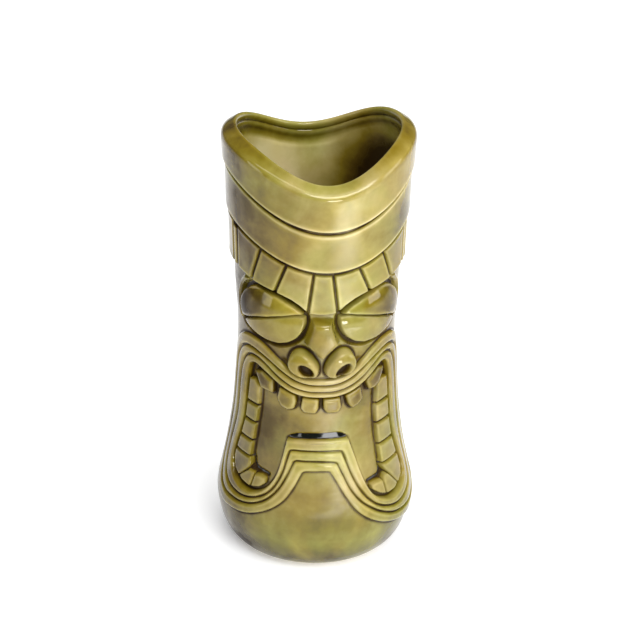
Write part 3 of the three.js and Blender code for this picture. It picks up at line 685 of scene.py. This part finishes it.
def glaze_material(name, shift=0.0, mottle=0.6, ochre=0.35):
    """Glossy olive glaze. It is pale where it runs thin over edges and dark where it pools in the carving.
    Painted shade darkens it towards both sides of the mug, painted dark reflections make its upright streaks
    strong at the far left, and where the pool value passes 1.05 it is painted as black glass.
    """
    n = Nodes(name)
    pool_and_shade = n.add("Attribute", attribute_name="pool_and_shade").outputs["Fac"]
    where = n.add("SeparateXYZ", {"Vector": n.add("TexCoord").outputs["Object"]}).outputs
    # masks for the painted shade towards the left and right sides
    left = n.math("MAXIMUM", n.math("SUBTRACT", LEFT_SHADE_FROM, where["X"]), 0.0)
    right = n.math("MAXIMUM", n.math("SUBTRACT", where["X"], RIGHT_SHADE_FROM), 0.0)
    # painted dark reflection: the upright streaks grow strong at the far left
    far_left_reflection = n.math("MULTIPLY", n.math("SUBTRACT", REFLECTION_STREAKS_FROM, where["X"]), 40, clamp=True)
    low = n.math("MULTIPLY", n.math("SUBTRACT", GREEN_BELOW, where["Z"]), 50, clamp=True)

    fine = n.noise(420, 3, 0.6, seed=4.1)
    streaks_and_reflection = n.math("ADD", 0.1, n.math("MULTIPLY", far_left_reflection, 0.7))
    clouds = (  # patches of thicker and thinner glaze, and how strong each kind is; at the far left the upright streaks are painted dark reflections
        (n.noise(38, 3, 0.55, 0.6, seed=1.3), mottle),
        (n.noise(95, 3, 0.55, 0.8, seed=9.4), 0.24),
        (n.noise(90, 3, 0.55, 0.4, stretch=(1, 1, 0.16), seed=6.3), streaks_and_reflection),
        (n.noise(130, 3, 0.5, 1.2, stretch=(0.3, 0.3, 1), seed=8.8), 0.08),
        (fine, 0.1),
    )
    # glaze thickness, with the painted shade and painted black glass that the attribute carries
    thick = pool_and_shade
    for cloud, amount in clouds:
        thick = n.math("ADD", thick, n.math("MULTIPLY", n.math("SUBTRACT", cloud, 0.5), amount))
    # painted shade: the glaze is drawn darker towards both sides of the mug
    sides = n.math("ADD", n.math("MULTIPLY", left, LEFT_SHADE_GAIN), n.math("MULTIPLY", right, RIGHT_SHADE_GAIN))
    thick = n.math("ADD", thick, sides)
    thick = n.math("ADD", thick, shift, clamp=True)

    plain = n.colours(thick, GLAZE_STOPS)
    green = n.colours(n.noise(30, 2, 0.5, 0.8, seed=7.7), [(0.42, "000000"), (0.64, "ffffff")])
    green = n.math("MAXIMUM", n.math("MULTIPLY", green, 0.6), n.math("MULTIPLY", low, 0.8))
    yellow = n.colours(n.noise(34, 2, 0.5, 0.9, seed=12.5), [(0.42, "000000"), (0.6, "ffffff")])
    tinted = n.blend(green, plain, n.colours(thick, GREEN_STOPS))
    tinted = n.blend(n.math("MULTIPLY", yellow, ochre), tinted, n.colours(thick, OCHRE_STOPS))
    # painted dark reflection and shade: the glaze turns to black glass where the pool value passes 1.05
    painted_dark = n.math("MULTIPLY", n.math("SUBTRACT", pool_and_shade, 1.05), 5, clamp=True)
    n.look("Base Color", n.blend(painted_dark, tinted, linear(PAINTED_DARK_GLASS)))

    steep = n.math("MULTIPLY", n.math("SUBTRACT", 1, painted_dark), 4)
    deep = n.math("MULTIPLY", n.math("SUBTRACT", thick, 0.7), steep, clamp=True)
    rough = n.math("ADD", 0.035, n.math("MULTIPLY", fine, 0.04))
    n.look("Roughness", n.math("ADD", rough, n.math("MULTIPLY", deep, 0.25)))
    n.look("IOR", 1.5)
    n.look("Specular IOR Level", n.math("SUBTRACT", 0.5, n.math("MULTIPLY", deep, 0.42)))
    n.look("Specular Tint", n.blend(painted_dark, linear("fff8e6"), linear("ffffff")))
    n.look("Coat Weight", n.math("SUBTRACT", 0.15, n.math("MULTIPLY", deep, 0.15)))
    n.look("Coat Roughness", 0.03)
    swell = n.noise(110, 2, 0.5, 0.3, seed=2.2)
    wave = n.add("Bump", {"Height": swell, "Strength": 0.12, "Distance": 0.0012})
    grain = n.add("Bump", {"Height": fine, "Strength": 0.05, "Distance": 0.0003, "Normal": wave.outputs[0]})
    n.look("Normal", grain.outputs[0])
    return n.material


CLAY_STOPS = [(0.3, "c9bda2"), (0.5, "ddd3bd"), (0.7, "ece4d2")]


def clay_material():
    """Bare fired clay: pale, matt and a little gritty."""
    n = Nodes("bare_clay")
    grit = n.noise(900, 4, 0.65, seed=3.0)
    stain = n.noise(60, 3, 0.5, seed=5.0)
    blotch = n.math("ADD", n.math("MULTIPLY", grit, 0.5), n.math("MULTIPLY", stain, 0.5))
    n.look("Base Color", n.colours(blotch, CLAY_STOPS))
    n.look("Roughness", 0.82)
    bump = n.add("Bump", {"Height": grit, "Strength": 0.25, "Distance": 0.0003})
    n.look("Normal", bump.outputs[0])
    return n.material


GLAZE = glaze_material("olive_glaze")
THIN = glaze_material("thin_glaze", shift=-0.02)
POOLED = glaze_material("pooled_glaze", shift=0.04, mottle=1.0, ochre=0.8)
CLAY = clay_material()

# ---- The carving ----


def bulge(angle, height, middle, size):
    """1 in the middle of an ellipse, falling to 0 at its edge, the same on both sides of the face."""
    across, up = (np.abs(angle) - middle[0]) / size[0], (height - middle[1]) / size[1]
    return np.maximum(0, 1 - across**2 - up**2)


LIP_GAP = 0.14  # half of the groove between two lips
LIP_RISE = {"lip_inner": 1.05, "lip_middle": 1.2, "lip_outer": 1.35}


def make_lips():
    edges = (MOUTH_EDGE, INNER_LIP_EDGE, MIDDLE_LIP_EDGE, OUTER_LIP_EDGE)
    loops = [clockwise(flowing(edge, STEP)) for edge in edges]
    for i, (name, rise) in enumerate(LIP_RISE.items()):
        def top(a, h, depth, rise=rise):
            fade = 1 - 0.55 * ramp(np.abs(a), 62, 86)
            return wall_at(h) + rise * fade - 0.55 * (1 - np.clip(depth / 1.5, 0, 1)) ** 2
        hole = moved_out(loops[i], 0.0 if i == 0 else LIP_GAP)
        outline = moved_out(loops[i + 1], -LIP_GAP if i < 2 else 0.0)
        relief(name, [outline, hole], top, GLAZE, edge=0.6, pooled=0.45, line=0.32, pale=0.16, dark=0.86)


def make_teeth():
    def upper(a, h, depth):
        return wall_at(h) - MOUTH_DEPTH + 2.7 - 1.2 * (1 - np.clip(depth / 2.2, 0, 1)) ** 2

    def beside_floor(a, h, depth):
        return wall_at(h) - MOUTH_DEPTH + 2.2 - 0.6 * (1 - np.clip(depth / 1.2, 0, 1)) ** 2

    for i, outline in enumerate(UPPER_TEETH):
        loop = moved_out(clockwise(rounded(outline, STEP, 0.8)), 0.45)
        relief(f"upper_tooth_{i + 1}", [loop], upper, THIN, edge=0.7, pooled=0.66, line=0.7, pale=0.2)
    for side, outlines in SIDE_TEETH.items():
        for i, outline in enumerate(outlines):
            out = 0.4 if i in CORNER_TEETH else 0.12
            loop = moved_out(clockwise(rounded(outline, STEP, 0.5)), out)
            relief(f"side_tooth_{side}_{i + 1}", [loop], beside_floor, THIN, edge=0.55, pooled=0.46, line=0.3,
                   pale=0.1, dark=0.82)


def make_eyes():
    def lower(a, h, depth):
        return wall_at(h) - 0.3 + 2.8 * bulge(a, h, (36, 100.5), (36, 9))

    def upper(a, h, depth):
        return wall_at(h) + 0.3 + 3.1 * bulge(a, h, (38, 105), (36, 10.5))

    def socket(a, h, depth):
        return wall_at(h) + 0.8

    for side, turn in SIDES.items():
        relief(f"eye_lower_lid_{side}", [rounded(turn(LOWER_LID), STEP, 1.2)], lower, THIN,
               edge=1.2, pooled=0.46, line=0.4, pale=0.12)
        relief(f"eye_upper_lid_{side}", [rounded(turn(UPPER_LID), STEP, 1.2)], upper, POOLED,
               edge=0.8, pooled=0.56, line=0.45, pale=0.2)
        relief(f"eye_socket_rim_{side}", [rounded(turn(SOCKET_RIM), STEP, 0.8)], socket, GLAZE,
               edge=1.2, pooled=0.36, line=0.0)


def ellipse(angle, height, long, short, slope, size=1.0):
    """The outline of a slanting ellipse: long and short are its half-axes, slope in degrees."""
    long, short = long * size, short * size
    t = np.linspace(0, 2 * np.pi, max(12, round(2 * np.pi * long / 0.3)), endpoint=False)
    x, y = long * np.cos(t), short * np.sin(t)
    s = math.radians(slope)
    per_degree = math.radians(float(wall_at(height)))
    across = (x * math.cos(s) - y * math.sin(s)) / per_degree
    return np.stack([angle + across, height + x * math.sin(s) + y * math.cos(s)], 1)


def make_nose():
    def bridge(a, h, depth):
        return wall_at(h) + 0.4 + 4.8 * np.sqrt(bulge(a, h, (0, 95), (19, 14.8)))

    relief("nose_bridge", [rounded(NOSE_BRIDGE, STEP, 1.0)], bridge, POOLED, edge=2.0, pooled=0.5, line=0.0)
    for side, turn in SIDES.items():
        slope = NOSTRIL["slope"] if side == "right" else -NOSTRIL["slope"]
        hole = dict(NOSTRIL, angle=NOSTRIL_ANGLES[side], slope=slope)
        rings = [ellipse(**hole, size=size) for size in (1.3, 1.1, 0.9, 0.7, 0.4)]
        edge = clockwise(ellipse(**hole))

        def wing(a, h, depth, edge=edge):
            full = wall_at(h) + 0.5 + 5.0 * np.sqrt(bulge(a, h, (13.2, 88.2), (14.5, 7.6)))
            return full - 3.4 * ramp(depth_in(np.stack([a, h], 1), [edge]), -0.4, 0.8)

        relief(f"nostril_wing_{side}", [rounded(turn(NOSTRIL_WING), STEP, 3.0)], wing, GLAZE,
               edge=1.4, pooled=0.5, line=0.6, pale=0.15, extra=rings, pit=edge)


def block(top_left, foot_left, top_right, foot_right):
    """The outline of an upright block of the lowest band, between two slanting sides."""
    steps = max(2, round((top_right - top_left) / 4))
    share = np.linspace(0, 1, steps + 1)
    foot = mix(foot_left, foot_right, share)
    top = mix(top_right, top_left, share)
    lower_side = [(a, float(brow_edge_at(a)) + BAND_GAP) for a in foot]
    return lower_side + [(a, float(lower_groove_at(a)) - BAND_GAP) for a in top]


def make_brow():
    def top(a, h, depth):
        return lower_band_at(h) - 0.12 * ramp(depth, 0.8, 2.6)

    half = BROW_GROOVE_WIDTH * 0.5
    sides = [(-t, -f) for t, f in reversed(BROW_GROOVES)] + BROW_GROOVES
    names = "left_outer left_middle left_inner centre right_inner right_middle right_outer".split()
    for name, (t0, f0), (t1, f1) in zip(names, sides, sides[1:]):
        outline = block(t0 + half, f0 + half, t1 - half, f1 - half)
        relief(f"brow_block_{name}", [rounded(outline, STEP, 0.5)], top, THIN,
               edge=0.6, pooled=0.48, line=0.28, pale=0.15, dark=0.88)
    (t0, f0), (t1, f1) = TEMPLE_BAR
    out = TEMPLE_BAR_SPREAD
    for side, turn in SIDES.items():
        outline = turn(block(t0 - out, f0 - out, t1 + out, f1 + out))
        relief(f"temple_bar_{side}", [rounded(outline, STEP, 0.5)], top, GLAZE, edge=0.6, pooled=0.42)
    rear = block(REAR_START, REAR_START, 360 - REAR_START, 360 - REAR_START)
    relief("crown_band_rear", [rounded(rear, STEP, 0.5)], top, GLAZE, edge=0.7, pooled=0.45, spacing=1.4)


# ---- Bands and rim ----

ROUND = np.linspace(0, 360, 300, endpoint=False)
DEPTHS = [-RIM_WIDTH, *INSETS]
FULL_DEPTH = 9.0  # clear of the rounding of a band's edges
BAND_BACK = 1.0  # how far under the body a band's hidden back lies


def band_row(height, depth, face, pooled):
    """A row of a band's outer face, depth millimetres from the band's nearer edge."""
    base = body_at(ROUND, height)
    radius = base + (face(height) - base) * ramp(depth, 0, BAND_EDGE) - RIM_FALL * np.minimum(depth, 0) ** 2
    glaze = glaze_near_edge(depth * np.ones(len(ROUND)), pooled, 0.5, 0.35)
    return row_of(ROUND, radius, height, glaze)


def back_row(height):
    return row_of(ROUND, body_at(ROUND, height) - BAND_BACK, height, 1.0)


def make_middle_band():
    low = lower_groove_at(ROUND) + BAND_GAP
    high = upper_groove_at(ROUND) - BAND_GAP
    rows = [band_row(low + d, d, middle_band_at, 0.45) for d in DEPTHS]
    for share in np.linspace(0, 1, 12)[1:-1]:
        height = mix(low + DEPTHS[-1], high - DEPTHS[-1], share)
        rows.append(band_row(height, FULL_DEPTH, middle_band_at, 0.45))
    rows += [band_row(high - d, d, middle_band_at, 0.45) for d in reversed(DEPTHS)]
    rows += [back_row(high), back_row(low)]
    woven("crown_band_middle", ROUND, rows, GLAZE)
    RIDGES.extend([(on_wall(np.stack([ROUND, edge_line], 1)), 1.0) for edge_line in (low, high)])


# The rim's section from the outer wall over the top to the inside: (radius, drop below the crest, glaze).
RIM_SECTION = [
    (34.85, 5.2, 0.44), (34.8, 4.4, 0.42), (34.62, 3.6, 0.36), (34.3, 2.85, 0.3), (33.85, 2.15, 0.32),
    (33.3, 1.5, 0.36), (32.7, 0.95, 0.4), (32.1, 0.5, 0.42), (31.5, 0.18, 0.4), (31.0, 0.03, 0.34),
    (30.6, 0.12, 0.26), (30.25, 0.42, 0.22), (30.05, 0.85, 0.3), (29.97, 1.35, 0.42), (30.0, 1.9, 0.5),
    (30.15, 2.5, 0.56), (30.4, 3.0, 0.62), (30.8, 3.4, 0.68), (31.4, 3.7, 0.75),
]
# The inside of the cup just under the rim: a low ridge between two soft hollows.
UNDER_RIM = [(31.3, 2.8, 0.7), (30.85, 3.0, 0.68), (30.5, 3.4, 0.56), (30.35, 3.9, 0.42), (30.38, 4.5, 0.42),
             (30.55, 5.2, 0.54), (30.75, 5.9, 0.6), (30.88, 6.7, 0.52), (30.9, 8.0, 0.42)]


def make_rim_band():
    low = upper_groove_at(ROUND) + BAND_GAP
    crest = crest_at(ROUND)
    shoulder = crest - RIM_SECTION[0][1]
    rows = [band_row(low + d, d, rim_band_at, 0.42) for d in DEPTHS]
    for share in np.linspace(0, 1, 14)[1:-1]:
        rows.append(band_row(mix(low + DEPTHS[-1], shoulder, share), FULL_DEPTH, rim_band_at, 0.42))
    swell = rim_band_at(shoulder) - RIM_SECTION[0][0]
    for radius, drop, pool_and_shade in fine_section(RIM_SECTION):
        rows.append(row_of(ROUND, radius + swell * ramp(radius, 32, 34.8), crest - drop, pool_and_shade))
    rows.append(row_of(ROUND, 32.6, crest - 4.6, 1.0))
    rows.append(back_row(low))
    woven("rim_band", ROUND, rows, GLAZE)
    RIDGES.append((on_wall(np.stack([ROUND, low], 1)), 1.0))


def fine_section(section, between=2):
    """A section's points with smooth ones put in between."""
    p = np.array(section, float)
    t = np.linspace(0, len(p) - 1, (len(p) - 1) * between + 1)
    return np.stack([Curve(list(enumerate(p[:, k])))(t) for k in range(3)], 1)


FOOT_SECTION = [(21.5, 0.0), (27.4, 0.0), (28.3, 0.2), (30.4, 1.0), (30.9, 1.6), (25.0, 2.2), (21.0, 1.7),
                (21.1, 0.3)]


def make_foot():
    rows = [row_of(ROUND, radius, height, 0.3) for radius, height in FOOT_SECTION]
    woven("foot_ring", ROUND, rows, CLAY)


# The cup's columns are closer in front, and its rows closest at the foot and across the ledge in the mouth.
CUP_ANGLES = np.concatenate([np.arange(-100, 100, 1.0), np.arange(100, 260, 2.5)])
CUP_HEIGHTS = np.concatenate([[1.6, 2.2, 3.0, 4.0, 5.2, 6.6, 8.2, 10.0], np.arange(11.5, 53.5, 0.55),
                              np.arange(53.6, 61.2, 0.2), np.arange(61.5, 124, 0.55),
                              np.arange(124.5, 148, 1.2)])
LIFT_FROM, LIFT_TO = 140, 148  # between these the rows spread out to follow the rim
LIFT_UNDER = 9  # the last one's distance below the crest
UNDERSIDE = 1.35


def make_cup():
    """The outer skin that the carving stands on, the inside and the underside."""
    angles = CUP_ANGLES
    grid_a, grid_h = np.meshgrid(angles, CUP_HEIGHTS)
    crest = crest_at(angles)
    above = (grid_h - LIFT_FROM) / (LIFT_TO - LIFT_FROM)
    lifted = np.where(grid_h > LIFT_FROM, LIFT_FROM + above * (crest - LIFT_UNDER - LIFT_FROM), grid_h)
    radius = body_at(grid_a.ravel(), lifted.ravel()).reshape(grid_a.shape)
    pool_and_shade = pool_and_painted_dark_along(grid_a.ravel(), lifted.ravel()).reshape(grid_a.shape)
    rows = [row_of(angles, r, UNDERSIDE, 0.45) for r in (10.0, 20.0, 29.5)]
    rows += [np.stack([radius[k], lifted[k], pool_and_shade[k]], 1) for k in range(len(CUP_HEIGHTS))]
    rows.append(row_of(angles, 32.4, crest - 3.6, 0.8))
    rows += [row_of(angles, r, crest - drop, glaze) for r, drop, glaze in fine_section(UNDER_RIM)]
    for share in np.linspace(0, 1, 14)[1:]:
        height = mix(crest - UNDER_RIM[-1][1], 135.0, share)
        glaze = painted_inside_shading(angles, height)
        rows.append(row_of(angles, np.minimum(inside_at(height), UNDER_RIM[-1][0]), height, glaze))
    for height in np.linspace(131, 22, 36):
        rows.append(row_of(angles, inside_at(height), height, painted_inside_shading(angles, height)))
    reach, rise = INSIDE[0][1] - FLOOR_EDGE, INSIDE[0][0] - FLOOR_HEIGHT
    for t in np.linspace(0, math.pi / 2, 9)[1:]:
        rows.append(row_of(angles, FLOOR_EDGE + reach * math.cos(t), INSIDE[0][0] - rise * math.sin(t), 0.55))
    rows += [row_of(angles, r, FLOOR_HEIGHT, 0.6) for r in (14.0, 6.0)]
    woven("cup_body", angles, rows, GLAZE, poles=[(UNDERSIDE, 0.45), (FLOOR_HEIGHT, 0.6)])


def painted_inside_shading(angles, height):
    """Painted shade and light inside the cup: darker down its right side, lighter on its left, and fading out
    towards the rim.
    """
    across = np.sin(np.radians(angles))
    right = ramp(across + (158 - height) * 0.011, 0.15, 0.95)
    return 0.2 + (0.82 * right - 0.3 * ramp(-across, 0, 0.6)) * ramp(166 - height, 0, 14)


def pool_and_painted_dark_along(angle, height):
    """How thick the glaze lies on the cup: deep along the foot of every relief and in the carved lines. Past
    1.05 it is painted black glass: a painted dark reflection on the lip's ledge and painted shade in the
    corner gaps.
    """
    tree = KDTree(sum(len(line) for line, _ in RIDGES))
    darks = []
    for line, dark in RIDGES:
        for p in line:
            tree.insert(p, len(darks))
            darks.append(dark)
    tree.balance()
    spots = np.stack([wrapped(angle), height], 1)
    found = [tree.find(p) for p in on_wall(spots)]
    far = np.array([f[2] for f in found])
    dark = np.array([darks[f[1]] for f in found])
    pool_and_shade = 0.5 + (dark - 0.45) * np.exp(-(far / 0.6) ** 2) - 0.08 * np.exp(-((far - 1.6) / 0.5) ** 2)
    for loop in SOCKET_LOOPS:
        pool_and_shade = np.maximum(pool_and_shade, 0.5 + 0.38 * sunk(spots, loop, 0.1, 0.9))
    for line in FOLD_LINES:
        pool_and_shade = np.maximum(pool_and_shade, 0.5 + 0.3 * beside(spots, line, 1.8))
    chin = ramp(height, 14, 26) * (1 - ramp(height, 38, 48)) * (1 - ramp(np.abs(angle), 8, 30))
    mouth = sunk(spots, MOUTH_LOOP, 0.5, 2.5)
    pool_and_shade = np.clip(pool_and_shade + 0.2 * ramp(15 - height, 0, 12) + 0.14 * chin + 0.08 * mouth, 0, 1)
    # painted dark reflection: the slope of the lip's ledge is painted black glass
    pool_and_shade = np.maximum(pool_and_shade, PAINTED_DARK_POOL * ramp(on_ledge(spots), 0.02, 0.25))
    # painted shade: the corner gaps are painted black glass
    for line in CORNER_LINES:
        pool_and_shade = np.maximum(pool_and_shade, PAINTED_DARK_POOL * beside(spots, line, 1.3 * CORNER_LINE_HALF))
    return pool_and_shade


make_lips()
make_teeth()
make_eyes()
make_nose()
make_brow()
make_middle_band()
make_rim_band()
make_foot()
make_cup()

for name, piece in PIECES.items():
    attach(piece, "root")
    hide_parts(name)

# ---- Floor, light and camera ----

FLOOR_HALF = 6.0
FLOOR_GREY = 0.93
FLOOR_GLOW = 0.22  # a little light of the floor's own, as on a light table, which softens the mug's shadow


def stage_floor():
    mesh = bpy.data.meshes.new("floor")
    s = FLOOR_HALF
    mesh.from_pydata([(-s, -s, 0), (s, -s, 0), (s, s, 0), (-s, s, 0)], [], [(0, 1, 2, 3)])
    n = Nodes("floor")
    n.look("Base Color", (FLOOR_GREY, FLOOR_GREY, FLOOR_GREY, 1))
    n.look("Roughness", 0.9)
    n.look("Emission Color", (1, 1, 1, 1))
    n.look("Emission Strength", FLOOR_GLOW)
    mesh.materials.append(n.material)
    floor = added("floor", mesh)


def aim(thing, at):
    thing.rotation_euler = (Vector(at) - thing.location).to_track_quat("-Z", "Y").to_euler()


def softbox(name, where, size, watts, at):
    data = bpy.data.lights.new(name, "AREA")
    data.shape = "RECTANGLE"
    data.size, data.size_y = size
    data.energy = watts
    lamp = added(name, data)
    lamp.location = where
    lamp.visible_camera = False
    aim(lamp, at)
    return lamp


SPOT_HEIGHT = 0.8


def floor_spot(name, where, cone, watts):
    """A bright pool of light on the floor, which the walls of the mug mirror as a soft upright streak."""
    data = bpy.data.lights.new(name, "SPOT")
    data.energy = watts
    data.spot_size = math.radians(cone)
    data.spot_blend = 0.7
    data.shadow_soft_size = 0.05
    lamp = added(name, data)
    lamp.location = (*where, SPOT_HEIGHT)
    aim(lamp, (*where, 0))


MUG_MIDDLE = (0, 0, 0.09)
SOFTBOXES = [  # name, place, size, watts, the point it is aimed at
    ("key", (0.28, -0.76, 0.7), (0.56, 0.3), 4.7, MUG_MIDDLE),
    ("strip", (-0.1, -0.5, 0.95), (1.2, 0.12), 1.5, MUG_MIDDLE),
    ("low", (0.25, -1.0, 0.12), (0.22, 0.14), 1.8, (0, 0, 0.08)),
    ("right", (0.9, -0.3, 0.36), (0.5, 0.4), 2.6, MUG_MIDDLE),
    ("left", (-0.9, -0.35, 0.3), (0.36, 0.4), 1.2, MUG_MIDDLE),
    ("top", (0.45, -0.25, 1.9), (3.0, 3.0), 62, (0, 0, 0)),
]
FLOOR_SPOTS = [("far_patch", (0.16, -0.26), 13, 125), ("near_patch", (0.052, -0.19), 10.5, 90)]
SKY_COLOUR, SKY_STRENGTH = (0.9, 0.9, 0.92, 1), 0.12


def light():
    for name, where, size, watts, at in SOFTBOXES:
        lamp = softbox(name, where, size, watts, at)
        lamp.visible_glossy = name != "top"
    for name, where, cone, watts in FLOOR_SPOTS:
        floor_spot(name, where, cone, watts)
    world = bpy.data.worlds.new("studio")
    bpy.context.scene.world = world
    world.use_nodes = True
    sky = world.node_tree.nodes["Background"].inputs
    sky[0].default_value = SKY_COLOUR
    sky[1].default_value = SKY_STRENGTH


# The camera's place round the mug in degrees, the point it looks at in millimetres, and its lens.
CAMERA_AZIMUTH, CAMERA_ELEVATION, CAMERA_ROLL = -4.3, 27, 0.85
CAMERA_TARGET, CAMERA_DISTANCE = (1.37, -0.1, 91), 0.8
SENSOR_WIDTH, LENS = 36, 117.9


def camera():
    azimuth, elevation, roll = (math.radians(v) for v in (CAMERA_AZIMUTH, CAMERA_ELEVATION, CAMERA_ROLL))
    data = bpy.data.cameras.new("camera")
    data.sensor_width, data.lens = SENSOR_WIDTH, LENS
    data.clip_start, data.clip_end = 0.05, 30
    cam = added("camera", data)
    back = Vector((math.sin(azimuth) * math.cos(elevation), -math.cos(azimuth) * math.cos(elevation),
                   math.sin(elevation)))
    cam.location = Vector(CAMERA_TARGET) * MM + back * CAMERA_DISTANCE
    cam.rotation_mode = "QUATERNION"
    turn = Euler((0, 0, roll)).to_quaternion()
    cam.rotation_quaternion = (-back).to_track_quat("-Z", "Y") @ turn
    bpy.context.scene.camera = cam


stage_floor()
light()
camera()
bpy.context.scene.view_settings.view_transform = "Standard"
